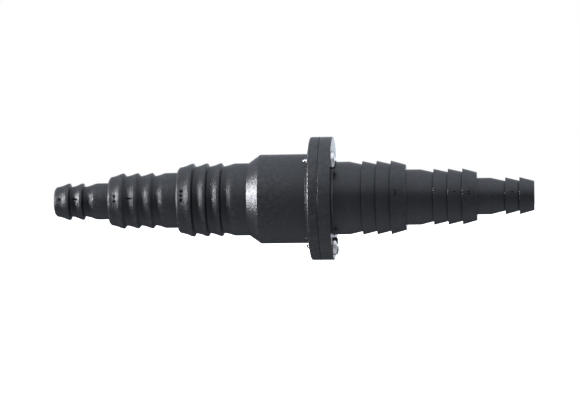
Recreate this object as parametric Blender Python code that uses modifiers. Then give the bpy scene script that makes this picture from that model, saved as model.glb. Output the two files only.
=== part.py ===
"""An in-line non-return valve for hoses, with a stepped hose tail at each end.

The axis of the valve is X. Water enters at +X (inlet_body), lifts the spring-loaded poppet off
its seat towards -X, and leaves through outlet_body, whose barrel holds the valve. Three screws
clamp the two flanges together. The origin is on the axis, half-way between the two ends.

Turned pieces are drawn as (station, radius) profiles in millimetres. A station is a distance
along X from the origin.
"""

from collections import namedtuple
from math import cos, pi, radians, sin

import bmesh
import bpy
from mathutils import Matrix, Vector

MM = 0.001
SEGMENTS = 36
SMALL_SEGMENTS = 24
MERGE = 0.00001
EASE = 0.3  # gap between pieces that touch in the real valve

# Hose tails, from the tip inwards. Lengths are measured from the start of the step.
Step = namedtuple("Step", "nose peak root land bore barbs first pitch back land_from length")
OUTLET_STEPS = (
    Step(nose=5.4, peak=6.8, root=5.45, land=6.7, bore=3.75, barbs=2,
         first=5.55, pitch=4.95, back=0.6, land_from=15.85, length=20.35),
    Step(nose=8.9, peak=10.25, root=9.1, land=10.15, bore=6.9, barbs=3,
         first=5.25, pitch=5.35, back=1.0, land_from=21.0, length=25.6),
    Step(nose=12.05, peak=13.5, root=12.25, land=13.3, bore=10.0, barbs=3,
         first=5.6, pitch=5.2, back=0.7, land_from=21.1, length=26.05),
)
INLET_STEPS = (
    Step(nose=5.4, peak=6.8, root=5.45, land=6.7, bore=3.75, barbs=2,
         first=5.3, pitch=5.15, back=0.1, land_from=15.9, length=20.85),
    Step(nose=8.85, peak=10.25, root=9.0, land=10.15, bore=6.9, barbs=3,
         first=5.15, pitch=5.25, back=0.1, land_from=20.65, length=25.8),
    Step(nose=12.0, peak=13.5, root=12.25, land=13.35, bore=10.0, barbs=3,
         first=5.4, pitch=5.2, back=0.1, land_from=20.75, length=26.73),
)
OUTLET_NOSE = (0.6, 0.7)  # length and depth of the bevel in front of each step
INLET_NOSE = (0.15, 0.15)
BORE_TAPER = (1.5, 4.0)  # where the bore widens, from the start of the wider step

# Barrel and flanges.
TAPER_LENGTH = 4.25
BARREL_RADIUS = 16.35
BARREL_LENGTH = 18.11
OUTLET_FLANGE = 4.19  # thickness
INLET_FLANGE = 4.52
FLANGE_RADIUS = 22.58
FLANGE_SEAM = 0.3  # gap between the two flanges
OUTLET_BEVEL = (0.88, 2.7)  # length and depth of the bevel behind the flange
OUTLET_SLOPE = 0.6  # how far the flange's back slopes away, from its bevel to the barrel
INLET_BEVEL = 0.15
FILLET = 0.5

# Valve chamber in the barrel, and the spigot of inlet_body that closes it.
CHAMBER_RADIUS = 14.0
CHAMBER_DEPTH = 20.5
GUIDE_SHOULDER_RADIUS = 12.4
SPIGOT_LENGTH = 3.0
SEAT_LIP = 0.7
SEAT_LIP_RADIUS = 10.7
RING_GROOVE_RADIUS = 15.1
RING_GROOVE_WIDTH = 1.9
RING_GROOVE_DEPTH = 1.6

# Flange screws.
SCREW_ANGLES = (48.5, 168.5, 288.5)  # up from the side that faces -Y
SCREW_CIRCLE = 18.4
SCREW_HOLE_RADIUS = 1.7
SCREW_RADIUS = 1.4
SCREW_LENGTH = 10.7
SCREW_HEAD_RADIUS = 3.3
SCREW_HEAD_HEIGHT = 2.1
SCREW_POINT = 2.6

# Poppet, its seal and what holds it.
TRAVEL = 5.0
DISC_RADIUS = 11.6
DISC_THICKNESS = 2.2
BOSS_RADIUS = 3.9
BOSS_HEIGHT = 0.8
STEM_RADIUS = 2.0
STEM_LENGTH = 11.4
PILOT_RADIUS = 1.35
PILOT_DEPTH = 8.0
SEAL_RADIUS = 11.2
SEAL_THICKNESS = 1.8
WASHER_RADIUS = 7.5
WASHER_THICKNESS = 1.0
SEAL_SCREW_RADIUS = 1.05
SEAL_SCREW_LENGTH = 9.0
SEAL_SCREW_HEAD_RADIUS = 2.5
SEAL_SCREW_HEAD_HEIGHT = 1.7
SEAL_SCREW_POINT = 1.6

# Stem guide and spring.
GUIDE_RING_RADIUS = 12.1  # inside of the ring
GUIDE_LENGTH = 3.5
SPOKES = 3
SPOKE_WIDTH = 1.8
HUB_RADIUS = 3.6
HUB_BORE_RADIUS = 2.3
SPRING_SEAT_RADIUS = 5.9
SPRING_SEAT_THICKNESS = 1.2
SPRING_RADIUS = 4.5
SPRING_WIRE = 0.5
SPRING_TURNS = 5.5
SPRING_END_TURNS = 1.0
SPRING_STEPS = 16  # points in one turn

# Stations along X that follow from the sizes above.
OUTLET_TAIL = sum(step.length for step in OUTLET_STEPS)
INLET_TAIL = sum(step.length for step in INLET_STEPS)
OUTLET_LENGTH = OUTLET_TAIL + TAPER_LENGTH + BARREL_LENGTH + OUTLET_FLANGE
INLET_LENGTH = INLET_TAIL + INLET_FLANGE
HALF_LENGTH = (OUTLET_LENGTH + INLET_LENGTH) / 2
SEAM = OUTLET_LENGTH - HALF_LENGTH
OUTLET_FACE = SEAM - FLANGE_SEAM / 2
INLET_FACE = SEAM + FLANGE_SEAM / 2
OUTLET_FLANGE_BACK = SEAM - OUTLET_FLANGE
INLET_FLANGE_BACK = SEAM + INLET_FLANGE
GUIDE_SHOULDER = SEAM - CHAMBER_DEPTH
SPIGOT_END = INLET_FACE - SPIGOT_LENGTH
SEAT = SPIGOT_END - SEAT_LIP
SEAL_FRONT = SEAT - EASE
DISC_FRONT = SEAL_FRONT - SEAL_THICKNESS - EASE
DISC_BACK = DISC_FRONT - DISC_THICKNESS
WASHER_BACK = SEAL_FRONT + EASE
WASHER_FRONT = WASHER_BACK + WASHER_THICKNESS
GUIDE_BACK = GUIDE_SHOULDER + EASE
GUIDE_FRONT = GUIDE_BACK + GUIDE_LENGTH
HUB_FRONT = DISC_BACK - BOSS_HEIGHT - TRAVEL - EASE


def clear_scene():
    for obj in list(bpy.data.objects):
        bpy.data.objects.remove(obj)


def new_collection(name):
    collection = bpy.data.collections.new(name)
    bpy.context.scene.collection.children.link(collection)
    return collection


def new_material(name, colour, roughness, metallic=0.0):
    material = bpy.data.materials.new(name)
    material.use_nodes = True
    shader = material.node_tree.nodes["Principled BSDF"]
    shader.inputs["Base Color"].default_value = (*colour, 1.0)
    shader.inputs["Roughness"].default_value = roughness
    shader.inputs["Metallic"].default_value = metallic
    material.diffuse_color = (*colour, 1.0)
    return material


def new_object(name, mesh, collection, material=None):
    obj = bpy.data.objects.new(name, mesh)
    collection.objects.link(obj)
    if material:
        mesh.materials.append(material)
    return obj


def shade(mesh):
    mesh.shade_smooth()
    mesh.set_sharp_from_angle(angle=radians(30))


def turn(name, profile, collection, material=None, segments=SEGMENTS):
    """Turns a profile of (station, radius) pairs about the X axis.

    The profile runs from the +X end down its outer side to the -X end. It is either a loop, for
    a ring or a tube, or it starts and ends on the axis.
    """
    is_loop = profile[0][1] > 0
    points = [(radius * MM, 0, station * MM) for station, radius in profile]
    edges = [(i, i + 1) for i in range(len(points) - 1)]
    if is_loop:
        edges.append((len(points) - 1, 0))
    mesh = bpy.data.meshes.new(name)
    mesh.from_pydata(points, edges, [])
    obj = new_object(name, mesh, collection, material)
    obj.rotation_euler = (0, pi / 2, 0)
    screw = obj.modifiers.new("turn", "SCREW")
    screw.axis = "Z"
    screw.steps = segments
    screw.render_steps = segments
    screw.use_smooth_shade = True
    screw.use_merge_vertices = True
    screw.merge_threshold = MERGE
    return obj


def fix_mesh(obj):
    """Replaces an object by the plain mesh that its modifiers make, in world space."""
    bpy.context.view_layer.update()
    graph = bpy.context.evaluated_depsgraph_get()
    mesh = bpy.data.meshes.new_from_object(obj.evaluated_get(graph))
    mesh.transform(obj.matrix_world)
    obj.modifiers.clear()
    obj.data = mesh
    obj.matrix_world = Matrix.Identity(4)
    shade(mesh)
    return obj


def boolean(obj, other, operation):
    modifier = obj.modifiers.new(operation.lower(), "BOOLEAN")
    modifier.operation = operation
    modifier.solver = "EXACT"
    modifier.object = other


def round_bar(name, radius, start, end, collection, segments=SMALL_SEGMENTS):
    """A cylinder along X between two stations."""
    bpy.ops.mesh.primitive_cylinder_add(
        vertices=segments,
        radius=radius * MM,
        depth=(end - start) * MM,
        location=((start + end) / 2 * MM, 0, 0),
        rotation=(0, pi / 2, 0),
    )
    return adopt(name, collection)


def adopt(name, collection):
    """Names the object that was just added and moves it to a collection."""
    obj = bpy.context.object
    obj.name = name
    for other in list(obj.users_collection):
        other.objects.unlink(obj)
    collection.objects.link(obj)
    return obj


def as_cutter(obj):
    obj.hide_render = True
    obj.display_type = "WIRE"
    return obj


def tail_outside(steps, nose):
    """(distance from the tip, radius) along the outside of a stepped tail, from the tip inwards."""
    nose_length, nose_depth = nose
    outline = []
    start = 0.0
    for step in steps:
        outline.append((start, step.nose - nose_depth))
        outline.append((start + nose_length, step.nose))
        for barb in range(step.barbs):
            peak_at = start + step.first + barb * step.pitch
            outline.append((peak_at, step.peak))
            outline.append((peak_at + step.back, step.root))
        outline.append((start + step.land_from, step.land))
        start += step.length
        outline.append((start, step.land))
    return outline


def tail_bore(steps):
    """(distance from the tip, radius) along the stepped bore, from the tip inwards."""
    outline = [(0.0, steps[0].bore)]
    start = 0.0
    widen_from, widen_to = BORE_TAPER
    for narrow, wide in zip(steps, steps[1:]):
        start += narrow.length
        outline.append((start + widen_from, narrow.bore))
        outline.append((start + widen_to, wide.bore))
    return outline


def screw_hole_cutter(angle, cutters):
    """A bar through both flanges where a screw goes."""
    start, end = OUTLET_FLANGE_BACK - 2, INLET_FLANGE_BACK + 2
    bar = round_bar("screw_hole", SCREW_HOLE_RADIUS, start, end, cutters)
    bar.location += screw_offset(angle)
    return as_cutter(bar)


def screw_offset(angle):
    """Where a flange screw's axis lies round the X axis."""
    return Vector((0, -cos(radians(angle)), sin(radians(angle)))) * SCREW_CIRCLE * MM


def make_outlet_body(parts, cutters, plastic):
    outside = [(d - HALF_LENGTH, r) for d, r in tail_outside(OUTLET_STEPS, OUTLET_NOSE)]
    bore = [(d - HALF_LENGTH, r) for d, r in tail_bore(OUTLET_STEPS)]
    barrel_from = OUTLET_FLANGE_BACK - BARREL_LENGTH
    shoulder_bore = OUTLET_STEPS[-1].bore
    bevel_length, bevel_depth = OUTLET_BEVEL
    profile = [
        (OUTLET_FACE, CHAMBER_RADIUS),
        (OUTLET_FACE, FLANGE_RADIUS),
        (OUTLET_FLANGE_BACK + bevel_length, FLANGE_RADIUS),
        (OUTLET_FLANGE_BACK, FLANGE_RADIUS - bevel_depth),
        (OUTLET_FLANGE_BACK - OUTLET_SLOPE, BARREL_RADIUS),
        (barrel_from, BARREL_RADIUS),
        *reversed(outside),
        *bore,
        (barrel_from - TAPER_LENGTH, shoulder_bore),
        (GUIDE_SHOULDER, GUIDE_SHOULDER_RADIUS),
        (GUIDE_SHOULDER, CHAMBER_RADIUS),
    ]
    body = turn("outlet_body", profile, parts, plastic)
    for angle in SCREW_ANGLES:
        boolean(body, screw_hole_cutter(angle, cutters), "DIFFERENCE")
    return body


def make_inlet_body(parts, cutters, plastic):
    outside = [(HALF_LENGTH - d, r) for d, r in tail_outside(INLET_STEPS, INLET_NOSE)]
    bore = [(HALF_LENGTH - d, r) for d, r in tail_bore(INLET_STEPS)]
    land = INLET_STEPS[-1].land
    spigot = CHAMBER_RADIUS - EASE
    groove_in = RING_GROOVE_RADIUS - RING_GROOVE_WIDTH / 2
    groove_out = RING_GROOVE_RADIUS + RING_GROOVE_WIDTH / 2
    groove_bottom = INLET_FACE + RING_GROOVE_DEPTH
    profile = [
        *outside[:-1],
        (INLET_FLANGE_BACK + FILLET, land),
        (INLET_FLANGE_BACK, land + FILLET),
        (INLET_FLANGE_BACK, FLANGE_RADIUS - INLET_BEVEL),
        (INLET_FLANGE_BACK - INLET_BEVEL, FLANGE_RADIUS),
        (INLET_FACE, FLANGE_RADIUS),
        (INLET_FACE, groove_out),
        (groove_bottom, groove_out),
        (groove_bottom, groove_in),
        (INLET_FACE, groove_in),
        (INLET_FACE, spigot),
        (SPIGOT_END, spigot),
        (SPIGOT_END, SEAT_LIP_RADIUS),
        (SEAT, SEAT_LIP_RADIUS - SEAT_LIP / 3),
        (SEAT, INLET_STEPS[-1].bore),
        *reversed(bore),
    ]
    body = turn("inlet_body", profile, parts, plastic)
    for angle in SCREW_ANGLES:
        boolean(body, screw_hole_cutter(angle, cutters), "DIFFERENCE")
    return body


def make_flange_o_ring(parts, rubber):
    section = (RING_GROOVE_DEPTH + FLANGE_SEAM) / 2 - EASE
    bpy.ops.mesh.primitive_torus_add(
        major_radius=RING_GROOVE_RADIUS * MM,
        minor_radius=section * MM,
        major_segments=SEGMENTS,
        minor_segments=10,
        location=((OUTLET_FACE + INLET_FACE + RING_GROOVE_DEPTH) / 2 * MM, 0, 0),
        rotation=(0, pi / 2, 0),
    )
    ring = adopt("flange_o_ring", parts)
    ring.data.materials.append(rubber)
    ring.data.shade_smooth()
    return ring


def screw_profile(radius, length, head_radius, head_height, point):
    """A pan-head screw whose head sits on station 0 and whose shank runs towards -X."""
    return [
        (head_height, 0),
        (head_height, head_radius * 0.55),
        (head_height * 0.75, head_radius * 0.85),
        (head_height * 0.35, head_radius),
        (0, head_radius),
        (0, radius),
        (point - length, radius),
        (-length, radius * 0.2),
        (-length, 0),
    ]


def recess_arm(name, angle, head_radius, head_height, cutters):
    """One bar of the cross recess in a screw's head. It tapers towards its bottom."""
    depth = head_height * 0.65
    width = head_radius * 0.95
    thickness = head_radius * 0.2
    shape = bmesh.new()
    corners = bmesh.ops.create_cube(shape, size=1.0)["verts"]
    for corner in corners:
        x, y, z = corner.co
        narrow = 1.0 if x > 0 else 0.6
        place = (head_height + 2 * depth * x, width * narrow * y, thickness * narrow * z)
        corner.co = Vector(place) * MM
    bmesh.ops.rotate(shape, verts=corners, matrix=Matrix.Rotation(angle, 3, "X"))
    mesh = bpy.data.meshes.new(name)
    shape.to_mesh(mesh)
    shape.free()
    return as_cutter(new_object(name, mesh, cutters))


def make_screw(name, profile, head_radius, head_height, parts, cutters, steel):
    """A screw with a cross recess, as a plain mesh with its head on station 0."""
    screw = turn(name, profile, parts, steel, SMALL_SEGMENTS)
    fix_mesh(screw)
    for angle in (0, pi / 2):
        arm = recess_arm(name + "_recess", angle, head_radius, head_height, cutters)
        boolean(screw, arm, "DIFFERENCE")
    return fix_mesh(screw)


def make_flange_screws(parts, cutters, steel):
    profile = screw_profile(
        SCREW_RADIUS, SCREW_LENGTH, SCREW_HEAD_RADIUS, SCREW_HEAD_HEIGHT, SCREW_POINT
    )
    first = make_screw(
        "flange_screw_1", profile, SCREW_HEAD_RADIUS, SCREW_HEAD_HEIGHT, parts, cutters, steel
    )
    screws = [first]
    for number in range(2, len(SCREW_ANGLES) + 1):
        copy = first.copy()
        copy.name = f"flange_screw_{number}"
        parts.objects.link(copy)
        screws.append(copy)
    for screw, angle in zip(screws, SCREW_ANGLES):
        screw.location = screw_offset(angle) + Vector(((INLET_FLANGE_BACK + EASE) * MM, 0, 0))
        screw.rotation_euler = (radians(angle), 0, 0)
    return screws


def make_valve_poppet(parts, plastic):
    stem_end = DISC_BACK - STEM_LENGTH
    chamfer = 0.4
    profile = [
        (DISC_FRONT - PILOT_DEPTH, 0),
        (DISC_FRONT - PILOT_DEPTH, PILOT_RADIUS),
        (DISC_FRONT, PILOT_RADIUS),
        (DISC_FRONT, DISC_RADIUS - chamfer),
        (DISC_FRONT - chamfer, DISC_RADIUS),
        (DISC_BACK + chamfer, DISC_RADIUS),
        (DISC_BACK, DISC_RADIUS - 2 * chamfer),
        (DISC_BACK, BOSS_RADIUS),
        (DISC_BACK - BOSS_HEIGHT, BOSS_RADIUS),
        (DISC_BACK - BOSS_HEIGHT, STEM_RADIUS),
        (stem_end + chamfer, STEM_RADIUS),
        (stem_end, STEM_RADIUS - chamfer),
        (stem_end, 0),
    ]
    return turn("valve_poppet", profile, parts, plastic)


def make_poppet_seal(parts, rubber):
    hole = SEAL_SCREW_RADIUS + EASE
    back = SEAL_FRONT - SEAL_THICKNESS
    edge = 0.3
    profile = [
        (SEAL_FRONT, hole),
        (SEAL_FRONT, SEAL_RADIUS - edge),
        (SEAL_FRONT - edge, SEAL_RADIUS),
        (back, SEAL_RADIUS),
        (back, hole),
    ]
    return turn("poppet_seal", profile, parts, rubber)


def make_seal_washer(parts, steel):
    hole = SEAL_SCREW_RADIUS + EASE
    edge = 0.3
    profile = [
        (WASHER_FRONT, hole),
        (WASHER_FRONT, WASHER_RADIUS - edge),
        (WASHER_FRONT - edge, WASHER_RADIUS),
        (WASHER_BACK, WASHER_RADIUS),
        (WASHER_BACK, hole),
    ]
    return turn("seal_washer", profile, parts, steel)


def make_seal_screw(parts, cutters, steel):
    profile = screw_profile(
        SEAL_SCREW_RADIUS,
        SEAL_SCREW_LENGTH,
        SEAL_SCREW_HEAD_RADIUS,
        SEAL_SCREW_HEAD_HEIGHT,
        SEAL_SCREW_POINT,
    )
    screw = make_screw(
        "seal_screw", profile, SEAL_SCREW_HEAD_RADIUS, SEAL_SCREW_HEAD_HEIGHT, parts, cutters, steel
    )
    screw.location = ((WASHER_FRONT + EASE) * MM, 0, 0)
    return screw


def make_stem_guide(parts, cutters, plastic):
    """A hub on spokes in a ring. Its front carries the spring."""
    outside = CHAMBER_RADIUS - EASE
    guide = turn(
        "stem_guide",
        [
            (GUIDE_FRONT, GUIDE_RING_RADIUS),
            (GUIDE_FRONT, outside),
            (GUIDE_BACK, outside),
            (GUIDE_BACK, GUIDE_RING_RADIUS),
        ],
        parts,
        plastic,
    )
    hub = turn(
        "stem_guide_hub",
        [
            (HUB_FRONT, HUB_BORE_RADIUS),
            (HUB_FRONT, HUB_RADIUS),
            (GUIDE_FRONT, HUB_RADIUS),
            (GUIDE_FRONT, SPRING_SEAT_RADIUS),
            (GUIDE_FRONT - SPRING_SEAT_THICKNESS, SPRING_SEAT_RADIUS),
            (GUIDE_BACK, HUB_RADIUS),
            (GUIDE_BACK, HUB_BORE_RADIUS),
        ],
        cutters,
    )
    boolean(guide, as_cutter(hub), "UNION")
    inner = (HUB_BORE_RADIUS + HUB_RADIUS) / 2
    outer = (GUIDE_RING_RADIUS + outside) / 2
    inset = 0.3  # the spokes end short of the ring's faces
    for number in range(SPOKES):
        angle = 2 * pi * number / SPOKES
        bpy.ops.mesh.primitive_cube_add(size=1.0)
        spoke = adopt("stem_guide_spoke", cutters)
        spoke.scale = (
            (GUIDE_LENGTH - 2 * inset) * MM,
            SPOKE_WIDTH * MM,
            (outer - inner) * MM,
        )
        spoke.rotation_euler = (angle, 0, 0)
        middle = Vector((0, -sin(angle), cos(angle))) * (inner + outer) / 2 * MM
        spoke.location = middle + Vector(((GUIDE_BACK + GUIDE_FRONT) / 2 * MM, 0, 0))
        boolean(guide, as_cutter(spoke), "UNION")
    return guide


def make_valve_spring(parts, steel):
    """A compression spring with closed ends, round the stem guide's hub."""
    radius = SPRING_WIRE / 2
    back = GUIDE_FRONT + EASE + radius
    front = DISC_BACK - EASE - radius
    steps = int(SPRING_TURNS * SPRING_STEPS)
    closed_pitch = SPRING_WIRE * 1.4
    open_turns = SPRING_TURNS - 2 * SPRING_END_TURNS
    open_pitch = (front - back - 2 * SPRING_END_TURNS * closed_pitch) / open_turns
    curve = bpy.data.curves.new("valve_spring", "CURVE")
    curve.dimensions = "3D"
    curve.bevel_depth = radius * MM
    curve.bevel_resolution = 2
    curve.use_fill_caps = True
    spline = curve.splines.new("POLY")
    spline.points.add(steps)
    for number, point in enumerate(spline.points):
        turns = number / SPRING_STEPS
        closed = min(turns, SPRING_END_TURNS) + max(0, turns - SPRING_TURNS + SPRING_END_TURNS)
        station = back + closed * closed_pitch + (turns - closed) * open_pitch
        angle = 2 * pi * turns
        point.co = (
            station * MM,
            SPRING_RADIUS * MM * cos(angle),
            SPRING_RADIUS * MM * sin(angle),
            1,
        )
    spring = bpy.data.objects.new("valve_spring", curve)
    curve.materials.append(steel)
    parts.objects.link(spring)
    return spring


def main():
    clear_scene()
    parts = new_collection("non_return_valve")
    cutters = new_collection("cutters")
    black = new_material("black_nylon", (0.022, 0.023, 0.026), 0.45)
    white = new_material("white_acetal", (0.78, 0.77, 0.73), 0.35)
    rubber = new_material("black_rubber", (0.012, 0.012, 0.012), 0.75)
    steel = new_material("stainless_steel", (0.62, 0.61, 0.59), 0.25, 1.0)
    make_outlet_body(parts, cutters, black)
    make_inlet_body(parts, cutters, black)
    make_flange_o_ring(parts, rubber)
    make_flange_screws(parts, cutters, steel)
    make_valve_poppet(parts, white)
    make_poppet_seal(parts, rubber)
    make_seal_washer(parts, steel)
    make_seal_screw(parts, cutters, steel)
    make_stem_guide(parts, cutters, white)
    make_valve_spring(parts, steel)


main()
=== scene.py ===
"""The looks of the in-line non-return valve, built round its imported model.

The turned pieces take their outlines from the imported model's own nodes. Their corners are then
rounded and the outlines are turned again, finely. Lengths are in metres, and MM makes them from
millimetres. X is the valve's axis, with the inlet at +X.
"""

import math

import bmesh
import bpy
from mathutils import Matrix, Vector


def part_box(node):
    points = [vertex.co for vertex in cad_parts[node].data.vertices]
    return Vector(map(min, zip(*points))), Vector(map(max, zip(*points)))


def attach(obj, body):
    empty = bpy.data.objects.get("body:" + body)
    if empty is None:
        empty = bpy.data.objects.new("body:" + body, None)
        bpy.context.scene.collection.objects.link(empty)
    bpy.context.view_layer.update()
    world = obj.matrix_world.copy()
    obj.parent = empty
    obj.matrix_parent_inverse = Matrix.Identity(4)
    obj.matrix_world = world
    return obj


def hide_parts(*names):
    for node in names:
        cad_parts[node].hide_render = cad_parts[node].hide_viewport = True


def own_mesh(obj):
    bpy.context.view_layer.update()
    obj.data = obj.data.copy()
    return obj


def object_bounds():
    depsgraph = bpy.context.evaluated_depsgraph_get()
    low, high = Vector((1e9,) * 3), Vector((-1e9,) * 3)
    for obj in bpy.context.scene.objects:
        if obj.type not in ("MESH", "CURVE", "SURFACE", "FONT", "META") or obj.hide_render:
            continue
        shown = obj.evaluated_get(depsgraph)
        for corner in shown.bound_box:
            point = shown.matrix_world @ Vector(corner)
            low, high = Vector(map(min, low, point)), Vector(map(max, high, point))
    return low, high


MM = 0.001
HOUSING = "valve_housing"
POPPET = "poppet_assembly"
SHELL_SEGMENTS = 192
INNER_SEGMENTS = 96
HOLE_SEGMENTS = 48
SAME_PLACE = 2e-6  # how far from a plane a vertex in it may lie
MERGE = 1e-7
SHARP_ANGLE = math.radians(35)  # edges that turn by more than this are shaded sharp
THREAD_SHARP_ANGLE = math.radians(60)

# Rounded corners.
OUTLET_EDGE = 0.2 * MM
INLET_EDGE = 0.015 * MM
FLANGE_EDGE = 0.14 * MM
RIM_EDGE = 0.85 * MM  # at the back of the outlet flange's rim
SHELL_FILLET = 0.15 * MM
INNER_EDGE = 0.15 * MM
SMOOTHEST_CORNER = math.radians(4)
ARC_STEP = math.radians(14)
MOST_OF_SIDE = 0.45  # the largest share of a side that a rounded corner takes
SLIGHT_LEAN = 0.15 * MM  # a step that leans less than this is moulded upright
FLANGE_FROM = 20 * MM  # the smallest radius that belongs to the flanges alone
SEAM = 10.325 * MM  # where the two flanges meet
SEAM_REACH = 0.2 * MM  # how far from there their faces may lie in the CAD
SEAM_GAP = 0.1 * MM  # what is left between them here
RIM_BACK = 7.015 * MM  # where the outlet flange's rim ends
RIM_GROWTH = 0.4 * MM  # how much further back its rounded edge starts
# The outlet's barbs have slightly hollow cones and blunt lips, as (share along, share of rise).
BARB_SLOPE = (0.08, 0.35)
BARB_LENGTH = 2 * MM
BARB_CURVE = ((0.25, 0.18), (0.5, 0.44), (0.8, 0.88))

# Recessed marks that count the hose sizes: (station from the tip, height above the axis, dots).
# A mark of no dots is a short bar.
OUTLET_MARKS = ((2.3, 0.9, 1), (8.2, 0.9, 0), (23.1, 0.9, 2), (28.8, 0.9, 0), (48.1, 1.7, 3))
INLET_MARKS = ((8.0, 1.5, 1), (23.8, 1.4, 2), (28.9, 1.8, 0), (50.2, 1.8, 3))
DOT_RADIUS = 0.5 * MM
DOT_SPACING = 1.35 * MM
DOT_FLARE = 0.15  # how much wider a dot's mouth is, and narrower its floor
OUTLET_MARK = (0.3 * MM, 1.2)  # depth and scale
INLET_MARK = (0.1 * MM, 0.6)
MARK_BAR = (0.55 * MM, 1.9 * MM)
BAR_ROUNDING = 0.3  # of a bar's ends, as a share of its size

# Screws, in millimetres.
FLANGE_SCREW = dict(head=3.3, dome=2.1, shank=1.4, length=10.7, point=2.6, pitch=1.1)
SEAL_SCREW = dict(head=2.5, dome=1.7, shank=1.05, length=9.0, point=1.6, pitch=0.8)
SCREW_HOLE_RADIUS = 1.7 * MM
SCREW_SEATING = 0.26 * MM  # how far a head moves in, until it all but touches the flange
SCREW_NODES = ("flange_screw_1", "flange_screw_2", "flange_screw_3")
SCREW_TURNS = (0.5, 1.2, 0.2)  # how far each cross recess is turned, in radians
DOME_STEPS = 16
DOME_EDGE = 0.22  # height of a pan head's edge, as a share of the head's
RECESS_DEPTH = 0.75  # as a share of the head's height
RECESS_LENGTH, RECESS_WIDTH = 1.05, 0.22  # as shares of the head's radius
RECESS_FOOT = 0.45  # how much of its length is left at its floor
THREAD_SEGMENTS = 32
THREAD_STEPS = 10  # rings in one turn of a thread
THREAD_DEPTH = 0.28  # as a share of the shank's radius
TIP, TIP_GROWTH = 0.12, 0.85  # width of the point's end, and how fast the point widens

# The stem guide's spokes.
SPOKES = 3
SPOKE_WIDTH = 1.8 * MM
SPOKE_ROUNDING = 0.4 * MM
SPOKE_OVERLAP = 0.7 * MM  # how far outside the hub's bore and the ring's inside its ends lie
SPOKE_INSET = 0.6 * MM  # how much shorter than the ring a spoke is, along the axis

# Colours of the housing.
# The grained outlet half's black is darker than the satin inlet half's: painted shade that takes
# off the left soft box's light there.
BLACK = (0.0030, 0.0032, 0.0038)
SATIN_BLACK = (0.0066, 0.0070, 0.0078)
# The lighter black of outer edges: partly rubbed wear, partly a painted highlight.
WORN_AND_SHEEN_BLACK = (0.016, 0.0165, 0.018)
OUTLET_GRAIN = (0.28 * MM, 0.085 * MM, 0.36)  # size, depth and roughness
INLET_GRAIN = (0.3 * MM, 0.003 * MM, 0.32)
EDGE_POLISH = 0.06  # how much less rough a worn edge is

# Camera.
CAMERA_AZIMUTH = math.radians(4.9)
CAMERA_DISTANCE = 1.1
CAMERA_ROLL = math.radians(-0.79)
FIELD_WIDTH = 213.05 * MM
AIM = Vector((-1.30, 0, -0.44)) * MM

# How bright the studio is round the valve's axis, as (degrees, level) from behind, below, up the
# front, over the top and back. 0 degrees is the camera's side and 90 degrees is above.
ROOM = (
    (-180, 1.8), (-177, 0.9), (-172, 0.15), (-150, 0.12), (-125, 0.36), (-105, 0.58), (-90, 0.68),
    (-60, 0.66), (-40, 0.55), (-20, 0.46), (0, 0.42), (10, 0.46), (20, 0.66), (28, 0.94),
    (40, 1.2), (60, 1.42), (90, 1.48), (120, 0.88), (150, 0.52), (170, 0.9), (176, 1.8),
)
BRIGHTEST = max(level for degrees, level in ROOM)
# How much of that level is left along X, as (x of the direction, share), on the camera's side.
ALONG = (
    (-1, 1.5), (-0.94, 1.5), (-0.86, 0.5), (-0.6, 0.5), (-0.35, 1.0),
    (0.3, 1.0), (0.8, 0.6), (0.96, 1.5), (1, 1.5),
)
MOST = max(share for x, share in ALONG)
BEHIND = (0.0, 0.3)  # y of the direction where that share starts to fade, and where it is gone
ROOM_COLOUR = (0.91, 0.98, 1.1)
LAMP_COLOUR = (0.97, 0.98, 1.04)

# The tall, narrow soft box on the left, whose reflection is the bright band on the taper.
SOFT_BOX_PLACE = (-1.17, -0.29, 0.17)
SOFT_BOX_SIZE = (0.2, 0.75)
SOFT_BOX_RADIANCE = 115

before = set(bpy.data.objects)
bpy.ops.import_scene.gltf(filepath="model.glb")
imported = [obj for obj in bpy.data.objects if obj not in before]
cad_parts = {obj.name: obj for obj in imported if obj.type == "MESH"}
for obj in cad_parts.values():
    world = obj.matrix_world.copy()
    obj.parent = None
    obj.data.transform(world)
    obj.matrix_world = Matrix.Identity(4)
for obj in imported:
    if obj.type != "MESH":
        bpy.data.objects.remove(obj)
cad_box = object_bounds()


# Outlines

def outlines(node):
    """What the half-plane below the axis cuts from a turned CAD node, as lists of (x, r).

    An outline that ends on the axis starts at its +X end. Any other is a loop.
    """
    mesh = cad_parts[node].data
    links = {}
    for edge in mesh.edges:
        ends = [mesh.vertices[i].co for i in edge.vertices]
        if any(abs(p.y) > SAME_PLACE or p.z > SAME_PLACE for p in ends):
            continue
        a, b = ((round(p.x, 7), round(abs(p.z), 7)) for p in ends)
        if a != b:
            links.setdefault(a, set()).add(b)
            links.setdefault(b, set()).add(a)
    found = []
    while links:
        tips = [p for p in links if len(links[p]) == 1]
        here = max(tips or links)
        path = []
        while here:
            path.append(here)
            onward = links.pop(here)
            here = next((p for p in onward if p in links), None)
        found.append(path)
    return found


def upright(outline):
    """The outline with its slightly leaning steps stood up."""
    result = [outline[0]]
    for x, r in outline[1:]:
        before_x, before_r = result[-1]
        if abs(x - before_x) < SLIGHT_LEAN and abs(r - before_r) > 4 * SLIGHT_LEAN:
            x = before_x
        result.append((x, r))
    return result


def closed_up(outline):
    """The outline with its rim at the seam moved up to the other half's, and its back edge out."""
    result = []
    for x, r in outline:
        if abs(x - SEAM) < SEAM_REACH and r > FLANGE_FROM:
            x = SEAM + math.copysign(SEAM_GAP / 2, x - SEAM)
        elif abs(x - RIM_BACK) < SAME_PLACE and r > FLANGE_FROM:
            x -= RIM_GROWTH
        result.append((x, r))
    return result


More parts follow.
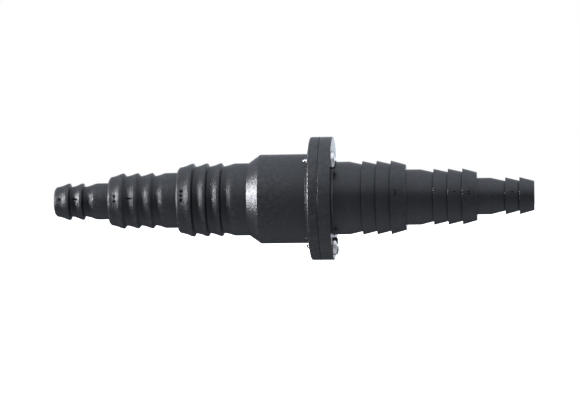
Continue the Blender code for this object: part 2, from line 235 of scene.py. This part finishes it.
def hollowed(outline):
    """The outline with its barbs' cones made a little hollow."""
    result = [outline[0]]
    for (x, r), (next_x, next_r) in zip(outline, outline[1:]):
        run, rise = next_x - x, next_r - r
        if abs(run) > BARB_LENGTH and BARB_SLOPE[0] < abs(rise / run) < BARB_SLOPE[1]:
            curve = BARB_CURVE if rise > 0 else [(1 - a, 1 - b) for a, b in reversed(BARB_CURVE)]
            result += [(x + run * a, r + rise * b) for a, b in curve]
        result.append((next_x, next_r))
    return result


def is_loop(outline):
    return min(outline[0][1], outline[-1][1]) > SAME_PLACE


def turned_by(before, corner, after):
    """The signed angle by which an outline turns at a corner."""
    a = Vector(corner) - Vector(before)
    b = Vector(after) - Vector(corner)
    return a.angle_signed(b, 0)


def rounded(outline, edge, fillet):
    """The outline with short arcs for corners, as (x, r, edge_wear_and_sheen), with 1 on outer
    edges, which are painted lighter as wear and as a highlight.
    """
    loop = is_loop(outline)
    count = len(outline)
    around = sum(
        turned_by(outline[i - 1], outline[i], outline[(i + 1) % count])
        for i in range(0 if loop else 1, count if loop else count - 1)
    )
    result = []
    for i, corner in enumerate(outline):
        if not loop and i in (0, count - 1):
            result.append((*corner, 0.0))
            continue
        before, after = outline[i - 1], outline[(i + 1) % count]
        angle = turned_by(before, corner, after)
        if abs(angle) < SMOOTHEST_CORNER:
            result.append((*corner, 0.0))
            continue
        outer = angle * around > 0
        here = Vector(corner)
        back, on = Vector(before) - here, Vector(after) - here
        radius = edge if outer else fillet
        if corner[1] > FLANGE_FROM:
            radius = RIM_EDGE if corner[0] < RIM_BACK else FLANGE_EDGE
        reach = radius * math.tan(abs(angle) / 2)
        reach = min(reach, MOST_OF_SIDE * back.length, MOST_OF_SIDE * on.length)
        start, end = here + back.normalized() * reach, here + on.normalized() * reach
        steps = max(2, math.ceil(abs(angle) / ARC_STEP))
        for step in range(steps + 1):
            t = step / steps
            point = start * (1 - t) ** 2 + here * 2 * t * (1 - t) + end * t**2
            result.append((point.x, point.y, float(outer)))
    return result


# Meshes

def shade(mesh, sharp_angle=SHARP_ANGLE):
    """Shades a mesh smooth, apart from its sharp edges."""
    mesh.shade_smooth()
    mesh.set_sharp_from_angle(angle=sharp_angle)


def finish_mesh(name, shape, sharp_angle=SHARP_ANGLE):
    """Makes an object from a bmesh, which it frees."""
    bmesh.ops.remove_doubles(shape, verts=shape.verts, dist=MERGE)
    bmesh.ops.recalc_face_normals(shape, faces=shape.faces)
    mesh = bpy.data.meshes.new(name)
    shape.to_mesh(mesh)
    shape.free()
    shade(mesh, sharp_angle)
    obj = bpy.data.objects.new(name, mesh)
    bpy.context.scene.collection.objects.link(obj)
    return obj


def revolve(shape, outline, segments):
    """Turns an outline of (x, r, edge_wear_and_sheen) about the X axis, into an open bmesh."""
    edge_wear_and_sheen = shape.verts.layers.float.get("edge_wear_and_sheen") or shape.verts.layers.float.new("edge_wear_and_sheen")
    rings = []
    for x, r, worn_and_sheen in outline:
        ring = []
        for k in range(segments if r > SAME_PLACE else 1):
            angle = 2 * math.pi * k / segments
            vert = shape.verts.new((x, -r * math.cos(angle), r * math.sin(angle)))
            vert[edge_wear_and_sheen] = worn_and_sheen
            ring.append(vert)
        rings.append(ring)
    pairs = list(zip(rings, rings[1:]))
    if is_loop([point[:2] for point in outline]):
        pairs.append((rings[-1], rings[0]))
    for first, second in pairs:
        for k in range(segments):
            n = (k + 1) % segments
            corners = (first[k % len(first)], first[n % len(first)])
            corners += (second[n % len(second)], second[k % len(second)])
            face = list(dict.fromkeys(corners))
            if len(face) > 2:
                shape.faces.new(face)


def turned(name, node, edge, fillet, segments):
    """A finely turned copy of a CAD node, with rounded corners."""
    shape = bmesh.new()
    for outline in outlines(node):
        outline = closed_up(upright(outline))
        if node == "outlet_body":
            outline = hollowed(outline)
        revolve(shape, rounded(outline, edge, fillet), segments)
    return finish_mesh(name, shape)


def boolean(obj, others, operation="DIFFERENCE"):
    """Cuts or joins other objects, and removes them."""
    for other in others:
        modifier = obj.modifiers.new(operation, "BOOLEAN")
        modifier.operation = operation
        modifier.solver = "EXACT"
        modifier.object = other
    bpy.context.view_layer.update()
    graph = bpy.context.evaluated_depsgraph_get()
    mesh = bpy.data.meshes.new_from_object(obj.evaluated_get(graph))
    obj.modifiers.clear()
    obj.data = mesh
    for other in others:
        bpy.data.objects.remove(other)
    shade(mesh)
    return obj


def bar(shape, matrix, radius, end_radius, length, segments=32):
    """Adds a round bar along its own Z axis, from its foot, to a bmesh."""
    bmesh.ops.create_cone(
        shape,
        cap_ends=True,
        segments=segments,
        radius1=radius,
        radius2=end_radius,
        depth=length,
        matrix=matrix @ Matrix.Translation((0, 0, length / 2)),
    )


def surface_at(obj, x, height):
    """Where a line along +Y, at this station and height, meets an object, and the normal there."""
    hit, place, normal, _ = obj.ray_cast(Vector((x, -1, height)), Vector((0, 1, 0)))
    return place, normal


def mark_cutter(obj, x, height, dots, depth, scale):
    """The cutter for one mark: a row of dots round the tail, or a bar."""
    shape = bmesh.new()
    place, normal = surface_at(obj, x, height)
    radius = math.hypot(place.y, place.z)
    spacing, dot = DOT_SPACING * scale, DOT_RADIUS * scale
    spread = max(dots - 1, 0) * spacing
    for k in range(dots):
        angle = math.asin(height / radius) + (k * spacing - spread / 2) / radius
        place, normal = surface_at(obj, x, radius * math.sin(angle))
        into = normal.to_track_quat("-Z", "Y").to_matrix().to_4x4()
        start = Matrix.Translation(place + normal * depth)
        bar(shape, start @ into, dot * (1 + DOT_FLARE), dot * (1 - DOT_FLARE), 2 * depth)
    if not dots:
        across, along = (scale * size for size in MARK_BAR)
        turn = normal.to_track_quat("Z", "X").to_matrix().to_4x4()
        box = bmesh.ops.create_cube(shape, size=1.0)["verts"]
        bmesh.ops.bevel(
            shape,
            geom=[e for e in shape.edges if abs(e.verts[0].co.z - e.verts[1].co.z) > 0.5],
            offset=BAR_ROUNDING,
            segments=4,
            affect="EDGES",
            profile=0.5,
        )
        size = Matrix.Diagonal((across, along, 2 * depth, 1))
        bmesh.ops.transform(
            shape, verts=shape.verts, matrix=Matrix.Translation(place) @ turn @ size
        )
    return finish_mesh("mark", shape)


def screw_axis(node):
    """Where a flange screw's axis crosses the plane x = 0."""
    low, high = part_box(node)
    middle = (low + high) / 2
    return Vector((0, middle.y, middle.z))


def hole_cutter(node):
    low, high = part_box(node)
    shape = bmesh.new()
    along_x = Matrix.Rotation(math.pi / 2, 4, "Y")
    start = Matrix.Translation(screw_axis(node) + Vector((low.x, 0, 0)))
    bar(shape, start @ along_x, SCREW_HOLE_RADIUS, SCREW_HOLE_RADIUS, high.x - low.x, HOLE_SEGMENTS)
    return finish_mesh("hole", shape)


def threaded_shank(shape, shank, length, point, pitch):
    """Adds a thread from x = 0 towards -X, tapering to a point."""
    segments = THREAD_SEGMENTS
    rings = []
    steps = int(length / pitch * THREAD_STEPS)
    for i in range(steps + 1):
        x = -length * i / steps
        taper = min(1.0, (length + x) / point * TIP_GROWTH + TIP)
        ring = []
        for k in range(segments):
            phase = (x / pitch + k / segments) % 1
            ridge = max(0.0, 1 - abs(phase - 0.5) * 4)
            r = shank * (1 - THREAD_DEPTH + THREAD_DEPTH * ridge) * taper
            angle = 2 * math.pi * k / segments
            ring.append(shape.verts.new((x, r * math.cos(angle), r * math.sin(angle))))
        rings.append(ring)
    for first, second in zip(rings, rings[1:]):
        for k in range(segments):
            n = (k + 1) % segments
            shape.faces.new((first[k], first[n], second[n], second[k]))
    shape.faces.new(rings[0])
    shape.faces.new(rings[-1])


def cross_recess(head, dome):
    """The two cutters for the cross recess of a pan head that stands on x = 0."""
    depth = dome * RECESS_DEPTH
    arms = []
    for turn in (0, math.pi / 2):
        shape = bmesh.new()
        bmesh.ops.create_cube(shape, size=1.0)
        for vert in shape.verts:
            wide = 1.0 if vert.co.x > 0 else RECESS_FOOT
            vert.co.x = dome + (vert.co.x - 0.5) * depth + depth / 4
            vert.co.y *= head * RECESS_LENGTH * wide
            vert.co.z *= head * RECESS_WIDTH * (0.5 + wide / 2)
        bmesh.ops.rotate(shape, verts=shape.verts, matrix=Matrix.Rotation(turn, 3, "X"))
        arms.append(finish_mesh("recess", shape))
    return arms


def pan_screw(name, head, dome, shank, length, point, pitch):
    """A pan-head screw whose head stands on x = 0, with its shank towards -X."""
    head, dome, shank = head * MM, dome * MM, shank * MM
    outline = [(dome, 0.0, 0.0)]
    for k in range(1, DOME_STEPS + 1):
        angle = math.pi / 2 * k / DOME_STEPS
        rise = DOME_EDGE + (1 - DOME_EDGE) * math.cos(angle) ** 0.6
        outline.append((dome * rise, head * math.sin(angle) ** 0.8, 0.0))
    outline += [(0.08 * MM, head, 0.0), (0.0, head * 0.97, 0.0), (0.0, 0.0, 0.0)]
    shape = bmesh.new()
    revolve(shape, outline, INNER_SEGMENTS)
    screw = boolean(finish_mesh(name, shape), cross_recess(head, dome))
    shank_shape = bmesh.new()
    threaded_shank(shank_shape, shank, length * MM, point * MM, pitch * MM)
    shank_part = finish_mesh(name + "_shank", shank_shape, THREAD_SHARP_ANGLE)
    shank_part.data.transform(Matrix.Translation((-0.02 * MM, 0, 0)))
    joined = bmesh.new()
    joined.from_mesh(screw.data)
    joined.from_mesh(shank_part.data)
    joined.to_mesh(screw.data)
    joined.free()
    bpy.data.objects.remove(shank_part)
    shade(screw.data)
    return screw


# Materials

class Nodes:
    """One material's node tree, built with short calls."""

    def __init__(self, name, colour, roughness, metallic=0.0):
        self.material = bpy.data.materials.new(name)
        self.material.use_nodes = True
        self.material.diffuse_color = (*colour, 1)
        self.tree = self.material.node_tree
        self.shader = self.tree.nodes["Principled BSDF"]
        self.shader.inputs["Base Color"].default_value = (*colour, 1)
        self.shader.inputs["Roughness"].default_value = roughness
        self.shader.inputs["Metallic"].default_value = metallic
        self.place = self.add("ShaderNodeTexCoord").outputs["Object"]

    def add(self, kind, settings=None, **inputs):
        node = self.tree.nodes.new(kind)
        for key, value in (settings or {}).items():
            setattr(node, key, value)
        for key, value in inputs.items():
            self.put(node.inputs[key.replace("_", " ")], value)
        return node

    def put(self, socket, value):
        if isinstance(value, bpy.types.NodeSocket):
            self.tree.links.new(value, socket)
        elif socket.type == "RGBA":
            socket.default_value = (*value, 1)
        else:
            socket.default_value = value

    def noise(self, size, detail=2.0, stretch=None):
        """Noise with features of about this size, from 0 to 1."""
        place = self.place
        if stretch:
            place = self.add("ShaderNodeMapping", Vector=place, Scale=stretch).outputs[0]
        node = self.add("ShaderNodeTexNoise", Vector=place, Scale=1 / size, Detail=detail)
        return node.outputs["Fac"]

    def spread(self, value, low, high, to_low=0.0, to_high=1.0):
        """Moves a value's range from low..high to to_low..to_high."""
        node = self.add("ShaderNodeMapRange", Value=value)
        for name, number in (
            ("From Min", low), ("From Max", high), ("To Min", to_low), ("To Max", to_high)
        ):
            self.put(node.inputs[name], number)
        return node.outputs[0]

    def math(self, operation, a, b):
        node = self.add("ShaderNodeMath", {"operation": operation})
        self.put(node.inputs[0], a)
        self.put(node.inputs[1], b)
        return node.outputs[0]

    def mix(self, amount, a, b):
        node = self.add("ShaderNodeMix", {"data_type": "RGBA"})
        self.put(node.inputs["Factor"], amount)
        self.put(node.inputs["A"], a)
        self.put(node.inputs["B"], b)
        return node.outputs["Result"]

    def attribute(self, name):
        return self.add("ShaderNodeAttribute", {"attribute_name": name}).outputs["Fac"]

    def bump(self, height, distance, strength=1.0):
        node = self.add("ShaderNodeBump", Height=height, Distance=distance, Strength=strength)
        self.put(self.shader.inputs["Normal"], node.outputs[0])


def moulded_black(name, base, grain_size, grain_depth, roughness):
    """Black moulded nylon, with the grain of its mould, and outer edges that are less rough and
    painted lighter in patches: partly rubbed wear, partly a painted highlight.
    """
    nodes = Nodes(name, base, roughness)
    grain = nodes.noise(grain_size, 0.5)
    cloud = nodes.spread(nodes.noise(9 * MM), 0.3, 0.7)
    wear_and_sheen_patches = nodes.spread(nodes.noise(1.5 * MM), 0.4, 0.7)
    # Outer edges are painted lighter in patches: partly rubbed wear, partly a painted highlight.
    worn_and_sheen = nodes.math("MULTIPLY", nodes.attribute("edge_wear_and_sheen"), wear_and_sheen_patches)
    colour = nodes.mix(cloud, [0.93 * c for c in base], [1.07 * c for c in base])
    nodes.put(nodes.shader.inputs["Base Color"], nodes.mix(worn_and_sheen, colour, WORN_AND_SHEEN_BLACK))
    rough = nodes.math("ADD", nodes.spread(grain, 0.3, 0.7, -0.02, 0.02), roughness)
    worn_rough = nodes.math("SUBTRACT", rough, nodes.math("MULTIPLY", worn_and_sheen, EDGE_POLISH))
    nodes.put(nodes.shader.inputs["Roughness"], worn_rough)
    nodes.bump(grain, grain_depth)
    return nodes.material


# Painted shade: a dull black that hardly reflects, put in the recessed marks where shade falls
# inside them.
def painted_recess_shade():
    nodes = Nodes("painted_recess_shade", (0.004, 0.004, 0.005), 0.8)
    nodes.shader.inputs["Specular IOR Level"].default_value = 0.1
    rough = nodes.spread(nodes.noise(0.3 * MM), 0.3, 0.7, 0.7, 0.9)
    nodes.put(nodes.shader.inputs["Roughness"], rough)
    return nodes.material


def stainless(name):
    nodes = Nodes(name, (0.64, 0.63, 0.61), 0.2, 1.0)
    lines = nodes.noise(0.2 * MM, 3.0, (0.15, 1.0, 1.0))
    nodes.put(nodes.shader.inputs["Roughness"], nodes.spread(lines, 0.3, 0.7, 0.08, 0.16))
    colour = nodes.mix(nodes.noise(1.2 * MM), (0.55, 0.54, 0.52), (0.70, 0.69, 0.67))
    nodes.put(nodes.shader.inputs["Base Color"], colour)
    nodes.bump(lines, 0.004 * MM)
    return nodes.material


def acetal():
    nodes = Nodes("white_acetal", (0.78, 0.77, 0.73), 0.35)
    cloud = nodes.noise(3 * MM)
    colour = nodes.mix(cloud, (0.74, 0.73, 0.69), (0.82, 0.81, 0.78))
    nodes.put(nodes.shader.inputs["Base Color"], colour)
    nodes.put(nodes.shader.inputs["Roughness"], nodes.spread(cloud, 0.3, 0.7, 0.3, 0.42))
    nodes.bump(nodes.noise(0.3 * MM), 0.006 * MM)
    return nodes.material


def rubber():
    nodes = Nodes("black_rubber", (0.012, 0.012, 0.012), 0.7)
    cloud = nodes.noise(0.5 * MM)
    colour = nodes.mix(cloud, (0.010, 0.010, 0.010), (0.018, 0.018, 0.018))
    nodes.put(nodes.shader.inputs["Base Color"], colour)
    nodes.put(nodes.shader.inputs["Roughness"], nodes.spread(cloud, 0.3, 0.7, 0.6, 0.8))
    nodes.bump(cloud, 0.01 * MM)
    return nodes.material


# Pieces

def place_piece(piece, node, body, material):
    piece.data.materials.clear()
    piece.data.materials.append(material)
    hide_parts(node)
    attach(piece, body)


def make_shell(name, node, edge, marks, mark, material, recess_shade):
    """One half of the housing, with its screw holes and size marks."""
    shell = turned(name, node, edge, SHELL_FILLET, SHELL_SEGMENTS)
    low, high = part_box(node)
    tip, inwards = (low.x, 1) if abs(low.x) > abs(high.x) else (high.x, -1)
    cutters = [
        mark_cutter(shell, tip + inwards * x * MM, z * MM, dots, *mark) for x, z, dots in marks
    ]
    for cutter in cutters:
        # The marks' faces take the painted recess shade.
        cutter.data.materials.append(material)
        cutter.data.materials.append(recess_shade)
        cutter.data.polygons.foreach_set("material_index", [1] * len(cutter.data.polygons))
    shell.data.materials.append(material)
    shell.data.materials.append(recess_shade)
    boolean(shell, cutters)
    boolean(shell, [hole_cutter(screw) for screw in SCREW_NODES])
    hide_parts(node)
    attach(shell, HOUSING)
    return shell


def make_flange_screw(node, angle, material):
    screw = pan_screw(node.replace("flange_screw", "flange_screw_part"), **FLANGE_SCREW)
    _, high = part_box(node)
    seat = high.x - FLANGE_SCREW["dome"] * MM - SCREW_SEATING
    turn = Matrix.Rotation(angle, 4, "X")
    screw.data.transform(Matrix.Translation(screw_axis(node) + Vector((seat, 0, 0))) @ turn)
    place_piece(screw, node, HOUSING, material)


def make_seal_screw(material):
    screw = pan_screw("seal_screw_part", **SEAL_SCREW)
    _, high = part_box("seal_screw")
    seat = high.x - SEAL_SCREW["dome"] * MM
    screw.data.transform(Matrix.Translation((seat, 0, 0)))
    place_piece(screw, "seal_screw", POPPET, material)


def make_spring(material):
    """The poppet's compression spring, with closed ends."""
    low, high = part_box("valve_spring")
    wire = 0.25 * MM  # its radius
    turns = 5.5
    closed = 1.0  # closed turns at each end
    per_turn = 48  # points
    mean = high.z - wire
    closed_pitch = 2.8 * wire
    length = high.x - low.x - 2 * wire
    open_pitch = (length - 2 * closed * closed_pitch) / (turns - 2 * closed)
    curve = bpy.data.curves.new("spring", "CURVE")
    curve.dimensions = "3D"
    curve.bevel_depth = wire
    curve.bevel_resolution = 3
    curve.use_fill_caps = True
    spline = curve.splines.new("POLY")
    spline.points.add(int(turns * per_turn))
    for number, point in enumerate(spline.points):
        turn = number / per_turn
        shut = min(turn, closed) + max(0, turn - turns + closed)
        x = low.x + wire + shut * closed_pitch + (turn - shut) * open_pitch
        angle = 2 * math.pi * turn
        point.co = (x, mean * math.cos(angle), mean * math.sin(angle), 1)
    path = bpy.data.objects.new("spring_path", curve)
    bpy.context.scene.collection.objects.link(path)
    bpy.context.view_layer.update()
    graph = bpy.context.evaluated_depsgraph_get()
    mesh = bpy.data.meshes.new_from_object(path.evaluated_get(graph))
    bpy.data.objects.remove(path)
    mesh.shade_smooth()
    spring = bpy.data.objects.new("spring_coil", mesh)
    bpy.context.scene.collection.objects.link(spring)
    place_piece(spring, "valve_spring", HOUSING, material)
    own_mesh(spring)


def make_stem_guide(material):
    """The guide's ring and hub, joined by three rounded spokes."""
    ring_outline, hub_outline = sorted(
        outlines("stem_guide"), key=lambda outline: -max(r for x, r in outline)
    )
    shape = bmesh.new()
    revolve(shape, rounded(ring_outline, INNER_EDGE, INNER_EDGE), INNER_SEGMENTS)
    guide = finish_mesh("stem_guide_part", shape)
    shape = bmesh.new()
    revolve(shape, rounded(hub_outline, INNER_EDGE, INNER_EDGE), INNER_SEGMENTS)
    others = [finish_mesh("hub", shape)]
    ring_x = [x for x, r in ring_outline]
    inner = min(r for x, r in hub_outline) + SPOKE_OVERLAP
    outer = min(r for x, r in ring_outline) + SPOKE_OVERLAP
    length = max(ring_x) - min(ring_x) - SPOKE_INSET
    for k in range(SPOKES):
        shape = bmesh.new()
        bmesh.ops.create_cube(shape, size=1.0)
        size = Matrix.Diagonal((length, SPOKE_WIDTH, outer - inner, 1))
        bmesh.ops.transform(shape, verts=shape.verts, matrix=size)
        bmesh.ops.bevel(
            shape,
            geom=[e for e in shape.edges if abs(e.verts[0].co.z - e.verts[1].co.z) > 1e-4],
            offset=SPOKE_ROUNDING,
            segments=4,
            affect="EDGES",
            profile=0.5,
        )
        middle = Matrix.Translation(((max(ring_x) + min(ring_x)) / 2, 0, (inner + outer) / 2))
        turn = Matrix.Rotation(2 * math.pi * k / SPOKES, 4, "X")
        bmesh.ops.transform(shape, verts=shape.verts, matrix=turn @ middle)
        others.append(finish_mesh("spoke", shape))
    boolean(guide, others, "UNION")
    place_piece(guide, "stem_guide", HOUSING, material)


def make_o_ring(material):
    low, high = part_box("flange_o_ring")
    section = (high.x - low.x) / 2
    middle = (high.x + low.x) / 2
    mean = high.z - section
    outline = [
        (middle + section * math.cos(a), mean + section * math.sin(a), 0.0)
        for a in (2 * math.pi * k / 24 for k in range(24))
    ]
    shape = bmesh.new()
    revolve(shape, outline, SHELL_SEGMENTS)
    ring = finish_mesh("flange_o_ring_part", shape)
    place_piece(ring, "flange_o_ring", HOUSING, material)


def make_turned_piece(node, material):
    piece = turned(node + "_part", node, INNER_EDGE, INNER_EDGE, INNER_SEGMENTS)
    place_piece(piece, node, POPPET, material)


# Studio

def make_camera():
    lens_width = 36.0
    data = bpy.data.cameras.new("camera")
    data.sensor_width = lens_width
    data.lens = lens_width * CAMERA_DISTANCE / FIELD_WIDTH
    data.clip_end = 50
    camera = bpy.data.objects.new("camera", data)
    turn = Matrix.Rotation(CAMERA_AZIMUTH, 4, "Z")
    back = turn @ Matrix.Translation((0, -CAMERA_DISTANCE, 0))
    roll = Matrix.Rotation(math.pi / 2, 4, "X") @ Matrix.Rotation(CAMERA_ROLL, 4, "Z")
    camera.matrix_world = Matrix.Translation(turn @ AIM) @ back @ roll
    bpy.context.scene.collection.objects.link(camera)
    bpy.context.scene.camera = camera


def make_world():
    """A studio that is bright above and dim below. The camera itself sees only white."""
    world = bpy.data.worlds.new("studio")
    bpy.context.scene.world = world
    world.use_nodes = True
    tree = world.node_tree
    tree.nodes.clear()

    def new(kind, **settings):
        node = tree.nodes.new(kind)
        for key, value in settings.items():
            setattr(node, key, value)
        return node

    def ramp(stops, value):
        node = new("ShaderNodeValToRGB")
        tree.links.new(value, node.inputs["Fac"])
        elements = node.color_ramp.elements
        while len(elements) < len(stops):
            elements.new(0.5)
        for element, (position, level) in zip(elements, stops):
            element.position = position
            element.color = (level, level, level, 1)
        return node.outputs["Color"]

    direction = new("ShaderNodeTexCoord").outputs["Generated"]
    split = new("ShaderNodeSeparateXYZ")
    tree.links.new(direction, split.inputs[0])
    front = new("ShaderNodeMath", operation="MULTIPLY")
    tree.links.new(split.outputs["Y"], front.inputs[0])
    front.inputs[1].default_value = -1.0
    angle = new("ShaderNodeMath", operation="ARCTAN2")
    tree.links.new(split.outputs["Z"], angle.inputs[0])
    tree.links.new(front.outputs[0], angle.inputs[1])
    part_of_turn = new("ShaderNodeMapRange")
    tree.links.new(angle.outputs[0], part_of_turn.inputs["Value"])
    part_of_turn.inputs["From Min"].default_value = -math.pi
    part_of_turn.inputs["From Max"].default_value = math.pi
    stops = [((degrees + 180) / 360, level / BRIGHTEST) for degrees, level in ROOM]
    room_level = ramp(stops, part_of_turn.outputs[0])
    along = new("ShaderNodeMapRange")
    tree.links.new(split.outputs["X"], along.inputs["Value"])
    along.inputs["From Min"].default_value = -1.0
    shares = ramp([((x + 1) / 2, share / MOST) for x, share in ALONG], along.outputs[0])
    behind = new("ShaderNodeMapRange", interpolation_type="SMOOTHSTEP")
    tree.links.new(split.outputs["Y"], behind.inputs["Value"])
    behind.inputs["From Min"].default_value, behind.inputs["From Max"].default_value = BEHIND
    share = new("ShaderNodeMix", data_type="FLOAT")
    tree.links.new(behind.outputs[0], share.inputs["Factor"])
    tree.links.new(shares, share.inputs["A"])
    share.inputs["B"].default_value = 1 / MOST
    level = new("ShaderNodeMath", operation="MULTIPLY")
    tree.links.new(room_level, level.inputs[0])
    tree.links.new(share.outputs["Result"], level.inputs[1])
    strength = new("ShaderNodeMath", operation="MULTIPLY")
    tree.links.new(level.outputs[0], strength.inputs[0])
    strength.inputs[1].default_value = BRIGHTEST * MOST
    room = new("ShaderNodeBackground")
    room.inputs["Color"].default_value = (*ROOM_COLOUR, 1)
    tree.links.new(strength.outputs[0], room.inputs["Strength"])
    white = new("ShaderNodeBackground")
    white.inputs["Color"].default_value = (1, 1, 1, 1)
    white.inputs["Strength"].default_value = 1.0
    choice = new("ShaderNodeMixShader")
    tree.links.new(new("ShaderNodeLightPath").outputs["Is Camera Ray"], choice.inputs["Fac"])
    tree.links.new(room.outputs[0], choice.inputs[1])
    tree.links.new(white.outputs[0], choice.inputs[2])
    tree.links.new(choice.outputs[0], new("ShaderNodeOutputWorld").inputs["Surface"])


def make_soft_box(name, place, size, radiance):
    data = bpy.data.lights.new(name, "AREA")
    data.shape = "RECTANGLE"
    data.size, data.size_y = size
    data.energy = radiance * math.pi * size[0] * size[1]
    data.color = LAMP_COLOUR
    light = bpy.data.objects.new(name, data)
    place = Vector(place)
    light.location = place
    light.rotation_euler = place.to_track_quat("Z", "Y").to_euler()
    light.visible_camera = False
    bpy.context.scene.collection.objects.link(light)


def make_floor():
    shape = bmesh.new()
    bmesh.ops.create_grid(shape, x_segments=1, y_segments=1, size=8)
    floor = finish_mesh("floor", shape)
    floor.location.z = cad_box[0][2]
    material = bpy.data.materials.new("white_floor")
    material.use_nodes = True
    shader = material.node_tree.nodes["Principled BSDF"]
    shader.inputs["Base Color"].default_value = (0.8, 0.8, 0.8, 1)
    shader.inputs["Roughness"].default_value = 1.0
    shader.inputs["Specular IOR Level"].default_value = 0.0
    shader.inputs["Emission Color"].default_value = (1, 1, 1, 1)
    shader.inputs["Emission Strength"].default_value = 0.9
    floor.data.materials.append(material)
    floor.visible_glossy = False
    floor.visible_diffuse = False


make_camera()
make_world()
make_soft_box("left_soft_box", SOFT_BOX_PLACE, SOFT_BOX_SIZE, SOFT_BOX_RADIANCE)
make_floor()

# The outlet half's darker black is painted shade against the soft box's light.
left_black = moulded_black("black_nylon_grained", BLACK, *OUTLET_GRAIN)
right_black = moulded_black("black_nylon_satin", SATIN_BLACK, *INLET_GRAIN)
# Painted shade for the recessed marks.
recess_shade = painted_recess_shade()
steel = stainless("stainless_steel")
white = acetal()
soft = rubber()

make_shell(
    "outlet_shell", "outlet_body", OUTLET_EDGE, OUTLET_MARKS, OUTLET_MARK, left_black, recess_shade
)
make_shell("inlet_shell", "inlet_body", INLET_EDGE, INLET_MARKS, INLET_MARK, right_black, recess_shade)
for node, turn in zip(SCREW_NODES, SCREW_TURNS):
    make_flange_screw(node, turn, steel)
make_o_ring(soft)
make_stem_guide(white)
make_spring(steel)
make_turned_piece("valve_poppet", white)
make_turned_piece("poppet_seal", soft)
make_turned_piece("seal_washer", steel)
make_seal_screw(steel)

scene = bpy.context.scene
scene.view_settings.view_transform = "Standard"
